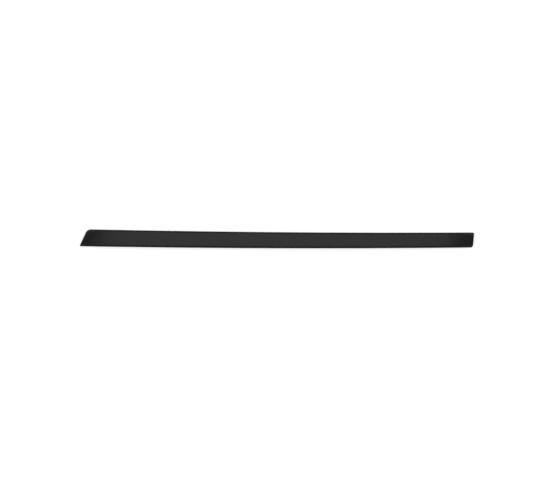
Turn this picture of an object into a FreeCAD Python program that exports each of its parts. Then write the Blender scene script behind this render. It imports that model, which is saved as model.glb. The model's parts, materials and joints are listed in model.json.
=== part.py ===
"""Body side moulding: a tapered, gently bowed rub strip for a car door, moulded in one piece.

Millimetres. X runs along the strip from the slanted end to the square end, Y across it towards its
upper edge, and Z out of its show face. The rim that seats on the door lies in the plane Z = 0. The
origin is in that plane at mid-length, on the chord of the strip's centre line.
"""
import FreeCAD, Part
import math
import os

from FreeCAD import Vector

# Plan of the strip, seen on its face
LENGTH = 1000.0
WIDE_END = 43.7
NARROW_END = 38.3
BOW = 3.5
SLANTED_END_LEAN = 24.2
SQUARE_END_LEAN = 5.1
TIP_RADIUS = 2.2
HEEL_RADIUS = 14.5
SQUARE_TOP_RADIUS = 4.2
SQUARE_BOTTOM_RADIUS = 7.0

# Show face: how far it drops along its length, at its end ramps, over its width, and at its flanks
THICKNESS = 12.0
LENGTHWISE_DROP = 1.0
END_RAMP = 4.0
END_RAMP_LENGTH = 105.0
CROWN_DROP = 0.9
FLANK_DROP = 1.7
FLANK_POWER = 8
EDGE_RADIUS = 1.8

# Wall all round the hollow back
WALL = 2.4
INNER_CORNER_RADIUS = 1.0
INNER_EDGE_RADIUS = 0.5

# Clip seats: plates held off the show wall, each with a hole for a snap-in clip
SEAT_PITCH = 170.0
SEAT_LENGTH = 24.0
SEAT_WIDTH = 26.0
SEAT_PLATE = 2.2
SEAT_WALL = 1.8
SEAT_SETBACK = 1.0
SEAT_ENTRY = 6.0
SEAT_END_DISTANCE = 60.0
CLIP_HOLE = 7.0
CLIP_SLOT_LENGTH = 11.0

# Ribs that stiffen the hollow back, set back from the rim
RIB = 1.4
RIB_SETBACK = 2.0
RIBS_PER_BAY = 3

# Points that the show face is interpolated through, along and across, and its reach past the edges
CROWN_ROWS = 41
CROWN_COLUMNS = 21
CROWN_REACH = 1.1

# Room left where a blank or a tool runs past the strip
MARGIN = 20.0

SEATS_PER_SIDE = int((LENGTH / 2 - SEAT_END_DISTANCE) / SEAT_PITCH + 0.5)


def half_width(x):
    """Half of the strip's width at X, without the ends."""
    share = x / LENGTH + 0.5
    return (WIDE_END + (NARROW_END - WIDE_END) * share) / 2


def middle_y(x):
    """Y of the strip's centre line, which sags by BOW at mid-length."""
    return -BOW * (1 - (2 * x / LENGTH) ** 2)


def long_edge(side, inset):
    """Arc of one long edge, side +1 above and -1 below, moved inwards and run past both ends."""
    points = []
    for x in (-LENGTH / 2 - MARGIN, 0, LENGTH / 2 + MARGIN):
        points.append(Vector(x, middle_y(x) + side * (half_width(x) - inset), 0))
    return Part.Arc(*points).toShape()


def end_frame(end):
    """Outermost corner of one end, -1 slanted and +1 square, and its directions along and inwards.

    The corner is sharp, and its rounded form reaches just as far as the strip's length.
    """
    lean = math.radians(SLANTED_END_LEAN if end < 0 else SQUARE_END_LEAN)
    radius = TIP_RADIUS if end < 0 else SQUARE_TOP_RADIUS
    rounded_off = radius * (1 / math.tan((math.pi / 2 - lean) / 2) - 1)
    x = end * (LENGTH / 2 + rounded_off)
    corner = Vector(x, middle_y(x) + end * half_width(x), 0)
    along = Vector(math.sin(lean), math.cos(lean), 0)
    inwards = Vector(-end * along.y, end * along.x, 0)
    return corner, along, inwards


def end_line(end, inset):
    """Bottom and top point on the line of one end, moved inwards by inset."""
    corner, along, inwards = end_frame(end)
    start = corner + inwards * inset
    return start - along * WIDE_END * 2, start + along * WIDE_END * 2


def plan_solid(inset, low):
    """Upright prism of the strip's plan from height low, its outline moved inwards by inset."""
    upper = long_edge(1, inset)
    lower = long_edge(-1, inset)
    right = Part.makeLine(upper.lastVertex().Point, lower.lastVertex().Point)
    left = Part.makeLine(lower.firstVertex().Point, upper.firstVertex().Point)
    blank = Part.Face(Part.Wire([upper, right, lower, left]))
    left_low, left_high = end_line(-1, inset)
    right_low, right_high = end_line(1, inset)
    ends = Part.Face(Part.makePolygon([left_low, right_low, right_high, left_high, left_low]))
    prism = blank.common(ends).Faces[0].extrude(Vector(0, 0, THICKNESS + 1 - low))
    prism.translate(Vector(0, 0, low))

    corner_radii = {
        (-1, -1): TIP_RADIUS,
        (-1, 1): HEEL_RADIUS,
        (1, 1): SQUARE_TOP_RADIUS,
        (1, -1): SQUARE_BOTTOM_RADIUS,
    }
    for (end, side), radius in corner_radii.items():
        corner = [e for e in prism.Edges if is_upright(e) and in_quadrant(e, end, side)]
        prism = prism.makeFillet(max(radius - inset, INNER_CORNER_RADIUS), corner)
    return prism


def is_upright(edge):
    """Whether an edge is a straight line along Z."""
    box = edge.BoundBox
    return box.XLength < 1e-4 and box.YLength < 1e-4


def in_quadrant(edge, end, side):
    """Whether an edge lies at the given end and on the given side of the strip."""
    middle = edge.CenterOfMass
    return middle.x * end > LENGTH / 2 - WIDE_END and middle.y * side > 0


def crown_point(x, share):
    """Point of the show face at X, share of the half width away from the centre line."""
    point = Vector(x, middle_y(x) + share * half_width(x), THICKNESS)
    point.z -= LENGTHWISE_DROP * (2 * x / LENGTH) ** 2
    point.z -= CROWN_DROP * share**2 + FLANK_DROP * share**FLANK_POWER
    for end in (-1, 1):
        corner, along, inwards = end_frame(end)
        into_ramp = 1 - (point - corner).dot(inwards) / END_RAMP_LENGTH
        point.z -= END_RAMP * max(into_ramp, 0) ** 3
    return point


def crown_tool(drop):
    """Solid under the strip's crowned face, the face lowered by drop."""
    far = LENGTH / 2 + MARGIN
    rows = []
    for i in range(CROWN_ROWS):
        x = far * (2 * i / (CROWN_ROWS - 1) - 1)
        row = []
        for j in range(CROWN_COLUMNS):
            share = CROWN_REACH * (2 * j / (CROWN_COLUMNS - 1) - 1)
            row.append(crown_point(x, share) - Vector(0, 0, drop))
        rows.append(row)
    crown = Part.BSplineSurface()
    crown.interpolate(rows)
    return crown.toShape().extrude(Vector(0, 0, -MARGIN))


def full_solid(inset, edge_radius, low):
    """The strip without its hollow, from height low, moved inwards by inset and rounded above."""
    body = plan_solid(inset, low).common(crown_tool(inset)).Solids[0]
    crown = max(body.Faces, key=lambda face: face.CenterOfMass.z)
    return body.makeFillet(edge_radius, crown.Edges)


def block(length, width, low, centre):
    """Upright block from height low to above the show face, centred on a point of the plan."""
    corner = Vector(centre.x - length / 2, centre.y - width / 2, low)
    return Part.makeBox(length, width, THICKNESS - low, corner)


def seat_centres():
    """Points of the plan where the clips hold the strip, in pairs about the middle."""
    xs = [side * SEAT_PITCH * (i + 0.5) for i in range(SEATS_PER_SIDE) for side in (-1, 1)]
    return [Vector(x, middle_y(x), 0) for x in xs]


def clip_hole(centre):
    """Hole through a seat's plate: round in the two middle seats, a slot along X in the others."""
    run = 0 if abs(centre.x) < SEAT_PITCH else CLIP_SLOT_LENGTH - CLIP_HOLE
    height = SEAT_SETBACK + SEAT_PLATE
    radius = CLIP_HOLE / 2
    start = centre - Vector(run / 2, 0, 0)
    hole = Part.makeCylinder(radius, height, start)
    if run:
        far_end = Part.makeCylinder(radius, height, start + Vector(run, 0, 0))
        between = Part.makeBox(run, CLIP_HOLE, height, start - Vector(0, radius, 0))
        hole = hole.fuse([far_end, between]).removeSplitter()
    return hole


def clip_seat(centre):
    """A plate held off the show wall by two side walls and one end wall, open at the other end."""
    inner_width = SEAT_WIDTH - 2 * SEAT_WALL
    pocket_centre = centre + Vector(SEAT_WALL, 0, 0)
    pocket = block(SEAT_LENGTH, inner_width, SEAT_SETBACK + SEAT_PLATE, pocket_centre)
    return block(SEAT_LENGTH, SEAT_WIDTH, SEAT_SETBACK, centre).cut([pocket, clip_hole(centre)])


def cross_ribs():
    """Ribs across the hollow back, evenly spaced between each two seats and beyond the last."""
    steps = RIBS_PER_BAY + 1
    spacing = SEAT_PITCH / steps
    ribs = []
    for i in range(-SEATS_PER_SIDE * steps, SEATS_PER_SIDE * steps + 1):
        x = i * spacing
        at_seat = (i + steps / 2) % steps == 0
        if abs(x) < LENGTH / 2 and not at_seat:
            ribs.append(block(RIB, 2 * WIDE_END, RIB_SETBACK, Vector(x, 0, 0)))
    return ribs


def keel():
    """Rib along the centre line, from one end to the other."""
    edges = []
    for side in (-1, 1):
        points = []
        for x in (-LENGTH / 2 - MARGIN, 0, LENGTH / 2 + MARGIN):
            points.append(Vector(x, middle_y(x) + side * RIB / 2, RIB_SETBACK))
        edges.append(Part.Arc(*points).toShape())
    return Part.makeRuledSurface(*edges).extrude(Vector(0, 0, THICKNESS - RIB_SETBACK))


def back_structure():
    """The pieces of wall that stand in the hollow back: cross ribs, keel between seats, and seats."""
    centres = seat_centres()
    room_length = SEAT_LENGTH + SEAT_ENTRY
    ahead = Vector(SEAT_ENTRY / 2, 0, 0)
    seat_rooms = [block(room_length, SEAT_WIDTH, 0, centre + ahead) for centre in centres]
    seats = [clip_seat(centre) for centre in centres]
    return cross_ribs() + [keel().cut(seat_rooms)] + seats


def moulding_strip():
    """The whole moulding: its full form less the hollow back."""
    hollow = full_solid(WALL, INNER_EDGE_RADIUS, -1).cut(back_structure())
    return full_solid(0, EDGE_RADIUS, 0).cut(hollow)


strip = moulding_strip()
os.makedirs("parts", exist_ok=True)
strip.Solids[0].exportStep("parts/moulding_strip.step")
print(len(strip.Solids), "solid, valid:", strip.isValid(), "cubic cm:", round(strip.Volume / 1000, 1))
print("seats:", [tuple(round(c, 3) for c in centre) for centre in seat_centres()])
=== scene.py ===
"""Body side moulding of a car door, lying on its back on a white floor and seen square on from its face.

Metres. X runs along the strip, Y across it, and Z out of its show face, as in the solids.
"""
import json
import math

import bpy
from mathutils import Matrix, Vector


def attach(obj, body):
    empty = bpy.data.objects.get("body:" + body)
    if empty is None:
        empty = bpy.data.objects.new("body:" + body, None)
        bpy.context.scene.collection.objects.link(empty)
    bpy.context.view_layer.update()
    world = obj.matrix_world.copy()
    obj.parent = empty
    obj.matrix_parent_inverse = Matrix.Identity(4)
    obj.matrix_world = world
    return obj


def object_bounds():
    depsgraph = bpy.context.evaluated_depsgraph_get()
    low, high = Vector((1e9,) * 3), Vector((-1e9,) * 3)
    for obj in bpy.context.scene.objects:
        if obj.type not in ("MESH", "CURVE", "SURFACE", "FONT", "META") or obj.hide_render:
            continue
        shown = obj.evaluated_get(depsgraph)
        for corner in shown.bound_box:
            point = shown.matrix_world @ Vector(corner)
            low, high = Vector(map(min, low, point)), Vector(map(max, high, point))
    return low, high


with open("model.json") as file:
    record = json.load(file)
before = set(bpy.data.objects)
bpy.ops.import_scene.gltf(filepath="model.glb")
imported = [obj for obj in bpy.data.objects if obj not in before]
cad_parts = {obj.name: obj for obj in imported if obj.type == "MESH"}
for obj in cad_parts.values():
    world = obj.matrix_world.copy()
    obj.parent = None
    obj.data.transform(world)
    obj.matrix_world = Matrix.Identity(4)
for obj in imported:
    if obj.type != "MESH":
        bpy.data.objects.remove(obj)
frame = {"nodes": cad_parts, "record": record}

CAD_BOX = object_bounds()
LENGTH = CAD_BOX[1].x - CAD_BOX[0].x

# The photograph's frame, and where the strip lies in it
PHOTO_WIDTH_PX = 553
PHOTO_HEIGHT_PX = 480
STRIP_LEFT_PX = 79.92
STRIP_RIGHT_PX = 474.13
STRIP_CHORD_PX = 238.85
STRIP_TURN_DEG = 0.332

# Camera, and the height at which it sees the outline of the strip's ends
LENS_MM = 85
SENSOR_MM = 36
OUTLINE_HEIGHT = 0.004

# Lamps: four softboxes off the corners, the keys, a weak panel over the strip, and a dim room. The level
# of a key is about how bright it alone makes a flat white surface on the floor, where 1 is white.
KEY_SIZE = 3.0
KEY_DISTANCE = 6.5
KEY_HEIGHT_DEG = 36
KEY_SWING_DEG = 30
UPPER_KEY_LEVEL = 0.28
LOWER_KEY_LEVEL = 0.14
PANEL_LENGTH = 1.82
PANEL_WIDTH = 2.4
PANEL_HEIGHT = 2.2
PANEL_SHIFT_X = -0.03
PANEL_SHIFT_Y = 0.1
PANEL_RADIANCE = 0.58
ROOM_STRENGTH = 0.03

# Power that each square metre of a lamp takes for each unit of its radiance
LAMP_POWER = 4

# White surroundings: a pale floor that is lifted to white, and past it a backdrop that reflections show
# white up to a low height. The backdrop's heights are sines of the angle above the floor.
WHITE = (1, 1, 1, 1)
FLOOR_SIZE = 6
FLOOR_TONE = 0.3
FLOOR_LIFT = 0.72
BACKDROP_FULL_HEIGHT = 0.2
BACKDROP_END_HEIGHT = 0.45

# Black plastic: its tone, its refractive index, and its roughness on the show side and in the back
PLASTIC_TONE = 0.005
PLASTIC_IOR = 1.49
SHOW_ROUGHNESS = 0.23
BACK_ROUGHNESS = 0.38

# Upward part of the normal over which the show side begins, and a rounded edge begins and ends
SHOW_BEGINS = (-0.4, -0.1)
EDGE_BEGINS = (0.15, 0.45)
EDGE_ENDS = (0.95, 0.8)

# Moulded grain: the size, softness and depth of its cells, its finer part, and its share in the back
GRAIN_CELL = 0.0006
GRAIN_SOFTNESS = 0.6
GRAIN_DEPTH = 0.00002
FINE_GRAIN = 0.4
BACK_GRAIN = 0.25

# Flow marks along the strip, and how far they move its tone and its roughness
FLOW_LENGTH = 0.25
FLOW_WIDTH = 0.012
FLOW_TONE = 0.15
FLOW_ROUGHNESS = 0.02

# Rubbed edges: scuffs to the metre, the noise over which one begins, what it adds to the tone, and its
# roughness
SCUFF_SCALE = 90.0
SCUFF_BEGINS = (0.45, 0.65)
RUBBED_TONE = 0.5
RUBBED_ROUGHNESS = 0.15

# Marks left by ejector pins on the wall of the hollow back, two in each bay between the cross ribs, and
# the length of the rays that find that wall
BAYS = 22
BAYS_PER_SEAT = 4
MARK_OFFSET = 0.0095
MARK_RADIUS = 0.0025
MARK_TAPER = 0.0002
MARK_HEIGHT = 0.00025
MARK_SINK = 0.0001
MARK_SIDES = 32
RAY_LENGTH = 0.02


class Nodes:
    """Shorthand for adding nodes to a tree and joining them."""

    def __init__(self, tree):
        self.nodes = tree.nodes
        self.links = tree.links

    def fill(self, node, inputs):
        """Sets a node's inputs to values or outputs, by name, or by number as _0, _1 and so on."""
        for name, value in inputs.items():
            socket = node.inputs[int(name[1:])] if name[0] == "_" else node.inputs[name]
            if isinstance(value, bpy.types.NodeSocket):
                self.links.new(value, socket)
            else:
                socket.default_value = value

    def add(self, kind, settings=None, **inputs):
        """Outputs of a new node with the given settings and inputs."""
        node = self.nodes.new(kind)
        for name, value in (settings or {}).items():
            setattr(node, name, value)
        self.fill(node, inputs)
        return node.outputs

    def math(self, operation, a, b):
        """Result of a sum on two numbers or outputs."""
        return self.add("ShaderNodeMath", {"operation": operation}, _0=a, _1=b)[0]

    def step(self, value, start, end):
        """Smoothly from 0 where value is at start to 1 where it is at end, and level past both."""
        limits = {"From Min": start, "From Max": end, "Value": value}
        return self.add("ShaderNodeMapRange", {"interpolation_type": "SMOOTHSTEP"}, **limits)["Result"]

    def between(self, share, low, high):
        """Evenly from low where share is 0 to high where it is 1."""
        return self.add("ShaderNodeMapRange", **{"To Min": low, "To Max": high, "Value": share})["Result"]

    def light_paths(self):
        """Two outputs that are 1 for rays from the camera, and for rays mirrored or let through."""
        path = self.add("ShaderNodeLightPath")
        mirrored = self.math("MAXIMUM", path["Is Glossy Ray"], path["Is Transmission Ray"])
        return path["Is Camera Ray"], mirrored


def place_camera():
    """Long lens straight above the strip, turned and shifted as the photograph is."""
    pixel = LENGTH / (STRIP_RIGHT_PX - STRIP_LEFT_PX)
    strip_middle_px = (STRIP_LEFT_PX + STRIP_RIGHT_PX) / 2
    across = (PHOTO_WIDTH_PX / 2 - strip_middle_px) * pixel
    up = (STRIP_CHORD_PX - PHOTO_HEIGHT_PX / 2) * pixel
    turn = math.radians(STRIP_TURN_DEG)

    data = bpy.data.cameras.new("camera")
    data.lens = LENS_MM
    data.sensor_width = SENSOR_MM
    camera = bpy.data.objects.new("camera", data)
    bpy.context.scene.collection.objects.link(camera)
    distance = PHOTO_WIDTH_PX * pixel * LENS_MM / SENSOR_MM
    aim = Matrix.Rotation(turn, 4, "Z") @ Vector((across, up, 0))
    camera.location = aim + Vector((0, 0, distance + OUTLINE_HEIGHT))
    camera.rotation_euler = (0, 0, turn)
    bpy.context.scene.camera = camera


def add_softbox(name, size, place, turn, radiance):
    """Rectangular lamp of an even radiance; unturned, it faces straight down with its length along X."""
    data = bpy.data.lights.new(name, "AREA")
    data.shape = "RECTANGLE"
    data.size, data.size_y = size
    data.energy = LAMP_POWER * radiance * size[0] * size[1]
    lamp = bpy.data.objects.new(name, data)
    lamp.location = place
    lamp.rotation_euler = turn
    bpy.context.scene.collection.objects.link(lamp)


def light_room():
    """Softboxes off the four corners and a weak panel overhead."""
    height = math.radians(KEY_HEIGHT_DEG)
    swing = math.radians(KEY_SWING_DEG)
    for side, level in ((1, UPPER_KEY_LEVEL), (-1, LOWER_KEY_LEVEL)):
        radiance = level * math.pi * KEY_DISTANCE ** 2 / (KEY_SIZE ** 2 * math.sin(height))
        for end in (1, -1):
            along = end * math.cos(swing) * math.cos(height)
            across = side * math.sin(swing) * math.cos(height)
            place = KEY_DISTANCE * Vector((along, across, math.sin(height)))
            facing_strip = place.to_track_quat("Z", "Y").to_euler()
            add_softbox(f"key_{side}_{end}", (KEY_SIZE, KEY_SIZE), place, facing_strip, radiance)
    overhead = (PANEL_SHIFT_X, PANEL_SHIFT_Y, PANEL_HEIGHT)
    add_softbox("panel", (PANEL_LENGTH, PANEL_WIDTH), overhead, (0, 0, 0), PANEL_RADIANCE)


def paint_room():
    """Dim even room light, with a backdrop that is white to the camera and low down in reflections."""
    world = bpy.data.worlds.new("room")
    bpy.context.scene.world = world
    world.use_nodes = True
    n = Nodes(world.node_tree)
    direction = n.add("ShaderNodeTexCoord")["Generated"]
    height = n.add("ShaderNodeSeparateXYZ", _0=direction)["Z"]
    backdrop = n.step(height, BACKDROP_END_HEIGHT, BACKDROP_FULL_HEIGHT)
    camera, mirrored = n.light_paths()
    white = n.math("MAXIMUM", camera, n.math("MULTIPLY", mirrored, backdrop))
    strength = n.between(white, ROOM_STRENGTH, 1)
    n.fill(n.nodes["Background"], {"Color": WHITE, "Strength": strength})


def floor_material():
    """Pale floor that shows white to the camera and keeps the strip's shadow."""
    material = bpy.data.materials.new("white_floor")
    material.use_nodes = True
    n = Nodes(material.node_tree)
    camera, mirrored = n.light_paths()
    lift = n.math("MULTIPLY", n.math("MAXIMUM", camera, mirrored), FLOOR_LIFT)
    n.fill(n.nodes["Principled BSDF"], {
        "Base Color": (FLOOR_TONE, FLOOR_TONE, FLOOR_TONE, 1),
        "Roughness": 1,
        "Specular IOR Level": 0,
        "Emission Color": WHITE,
        "Emission Strength": lift,
    })
    return material


def lay_floor():
    """Level floor under the strip."""
    half = FLOOR_SIZE / 2
    mesh = bpy.data.meshes.new("floor")
    corners = [(-half, -half, 0), (half, -half, 0), (half, half, 0), (-half, half, 0)]
    mesh.from_pydata(corners, [], [(0, 1, 2, 3)])
    floor = bpy.data.objects.new("floor", mesh)
    bpy.context.scene.collection.objects.link(floor)
    floor.data.materials.append(floor_material())


def moulded_plastic():
    """Black plastic: satin and grained on the show side, duller and plainer in the back, rubbed edges."""
    material = bpy.data.materials.new("black_moulded_plastic")
    material.use_nodes = True
    n = Nodes(material.node_tree)
    coordinates = n.add("ShaderNodeTexCoord")
    place = coordinates["Object"]
    upwards = n.add("ShaderNodeSeparateXYZ", _0=coordinates["Normal"])["Z"]
    show = n.step(upwards, *SHOW_BEGINS)
    edge = n.math("MULTIPLY", n.step(upwards, *EDGE_BEGINS), n.step(upwards, *EDGE_ENDS))

    stretched = n.add("ShaderNodeMapping", {"vector_type": "TEXTURE"}, Vector=place,
                      Scale=(FLOW_LENGTH, FLOW_WIDTH, FLOW_WIDTH))["Vector"]
    flow = n.add("ShaderNodeTexNoise", Vector=stretched, Scale=1.0, Detail=3.0, Roughness=0.55)[0]
    scuff = n.add("ShaderNodeTexNoise", Vector=place, Scale=SCUFF_SCALE, Detail=5.0, Roughness=0.7)[0]
    rubbed = n.math("MULTIPLY", edge, n.step(scuff, *SCUFF_BEGINS))

    side = n.between(show, BACK_ROUGHNESS, SHOW_ROUGHNESS)
    unrubbed = n.math("ADD", side, n.between(flow, -FLOW_ROUGHNESS, FLOW_ROUGHNESS))
    roughness = n.between(rubbed, unrubbed, RUBBED_ROUGHNESS)

    lift = n.math("MULTIPLY", rubbed, RUBBED_TONE)
    share = n.math("ADD", n.between(flow, 1 - FLOW_TONE, 1 + FLOW_TONE), lift)
    tone = n.math("MULTIPLY", share, PLASTIC_TONE)
    colour = n.add("ShaderNodeCombineColor", Red=tone, Green=tone, Blue=tone)["Color"]

    cells = n.add("ShaderNodeTexVoronoi", {"feature": "SMOOTH_F1"}, Vector=place, Scale=1 / GRAIN_CELL,
                  Smoothness=GRAIN_SOFTNESS)["Distance"]
    fine = n.add("ShaderNodeTexNoise", Vector=place, Scale=1 / GRAIN_CELL, Detail=4.0)[0]
    relief = n.math("ADD", cells, n.math("MULTIPLY", fine, FINE_GRAIN))
    grain = n.math("MULTIPLY", relief, n.between(show, BACK_GRAIN, 1.0))
    bump = n.add("ShaderNodeBump", Height=grain, Distance=GRAIN_DEPTH)["Normal"]
    n.fill(n.nodes["Principled BSDF"], {
        "Base Color": colour,
        "Roughness": roughness,
        "IOR": PLASTIC_IOR,
        "Normal": bump,
    })
    return material


def mark_tree():
    """Geometry nodes that seat a low round mark wherever a ray up from the rim's plane meets the wall."""
    tree = bpy.data.node_groups.new("ejector_marks", "GeometryNodeTree")
    inputs = {"Strip": "Object", "Bay": "Float", "Bays": "Int", "Offset": "Float", "Bow": "Float",
              "Half Length": "Float", "Ray Length": "Float", "Radius": "Float", "Taper": "Float",
              "Height": "Float", "Sink": "Float", "Sides": "Int", "Finish": "Material"}
    for name, kind in inputs.items():
        tree.interface.new_socket(name, in_out="INPUT", socket_type="NodeSocket" + kind)
    tree.interface.new_socket("Marks", in_out="OUTPUT", socket_type="NodeSocketGeometry")
    n = Nodes(tree)
    given = n.add("NodeGroupInput")

    run = n.math("MULTIPLY", given["Bay"], n.math("SUBTRACT", given["Bays"], 1.0))
    width = n.math("MULTIPLY", given["Offset"], 2.0)
    grid = n.add("GeometryNodeMeshGrid", **{"Size X": run, "Size Y": width, "Vertices X": given["Bays"],
                                            "Vertices Y": 2})["Mesh"]
    place = n.add("GeometryNodeInputPosition")["Position"]
    share = n.math("DIVIDE", n.add("ShaderNodeSeparateXYZ", _0=place)["X"], given["Half Length"])
    rise = n.math("SUBTRACT", n.math("MULTIPLY", share, share), 1.0)
    sag = n.add("ShaderNodeCombineXYZ", Y=n.math("MULTIPLY", rise, given["Bow"]))["Vector"]
    points = n.add("GeometryNodeSetPosition", Geometry=grid, Offset=sag)["Geometry"]

    strip = n.add("GeometryNodeObjectInfo", Object=given["Strip"])["Geometry"]
    wall = n.add("GeometryNodeRaycast", **{"Target Geometry": strip, "Ray Direction": (0, 0, 1),
                                           "Ray Length": given["Ray Length"]})
    facing = n.add("FunctionNodeAlignRotationToVector", {"axis": "Z"},
                   Vector=wall["Hit Normal"])["Rotation"]
    depth = n.math("ADD", given["Height"], given["Sink"])
    top = n.math("SUBTRACT", given["Radius"], given["Taper"])
    cone = n.add("GeometryNodeMeshCone", **{"Vertices": given["Sides"], "Radius Top": top,
                                            "Radius Bottom": given["Radius"], "Depth": depth})["Mesh"]
    down = n.add("ShaderNodeCombineXYZ", Z=n.math("MULTIPLY", given["Sink"], -1.0))["Vector"]
    mark = n.add("GeometryNodeTransform", Geometry=cone, Translation=down)["Geometry"]
    marks = n.add("GeometryNodeInstanceOnPoints", Points=points, Selection=wall["Is Hit"],
                  Instance=mark, Rotation=facing)["Instances"]
    seated = n.add("GeometryNodeSetPosition", Geometry=marks, Position=wall["Hit Position"])["Geometry"]
    real = n.add("GeometryNodeRealizeInstances", Geometry=seated)["Geometry"]
    finished = n.add("GeometryNodeSetMaterial", Geometry=real, Material=given["Finish"])["Geometry"]
    n.add("NodeGroupOutput", Marks=finished)
    return tree


def add_ejector_marks(strip, plastic):
    """The pin marks, in bays worked out from the clip seats, as one piece of relief on the strip."""
    mounts = {mount["name"]: mount for mount in frame["record"]["mounts"]}
    seats = mounts["clip_seats_inner"]
    seat_pitch = seats["dims"]["spacing_x_mm"] / 1000
    bow = -seats["pos_m"][1] / (1 - (seat_pitch / LENGTH) ** 2)
    values = {"Strip": strip, "Bay": seat_pitch / BAYS_PER_SEAT, "Bays": BAYS, "Offset": MARK_OFFSET,
              "Bow": bow, "Half Length": LENGTH / 2, "Ray Length": RAY_LENGTH, "Radius": MARK_RADIUS,
              "Taper": MARK_TAPER, "Height": MARK_HEIGHT, "Sink": MARK_SINK, "Sides": MARK_SIDES,
              "Finish": plastic}

    marks = bpy.data.objects.new("ejector_marks", bpy.data.meshes.new("ejector_marks"))
    bpy.context.scene.collection.objects.link(marks)
    modifier = marks.modifiers.new("marks", "NODES")
    modifier.node_group = mark_tree()
    for socket in modifier.node_group.interface.items_tree:
        if socket.in_out == "INPUT":
            modifier[socket.identifier] = values[socket.name]
    evaluated = marks.evaluated_get(bpy.context.evaluated_depsgraph_get())
    mesh = bpy.data.meshes.new_from_object(evaluated)
    marks.modifiers.remove(modifier)
    marks.data = mesh
    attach(marks, "root")


bpy.context.scene.view_settings.view_transform = "Standard"
place_camera()
light_room()
paint_room()
lay_floor()
strip = frame["nodes"]["moulding_strip"]
strip.data.materials.clear()
plastic = moulded_plastic()
strip.data.materials.append(plastic)
add_ejector_marks(strip, plastic)
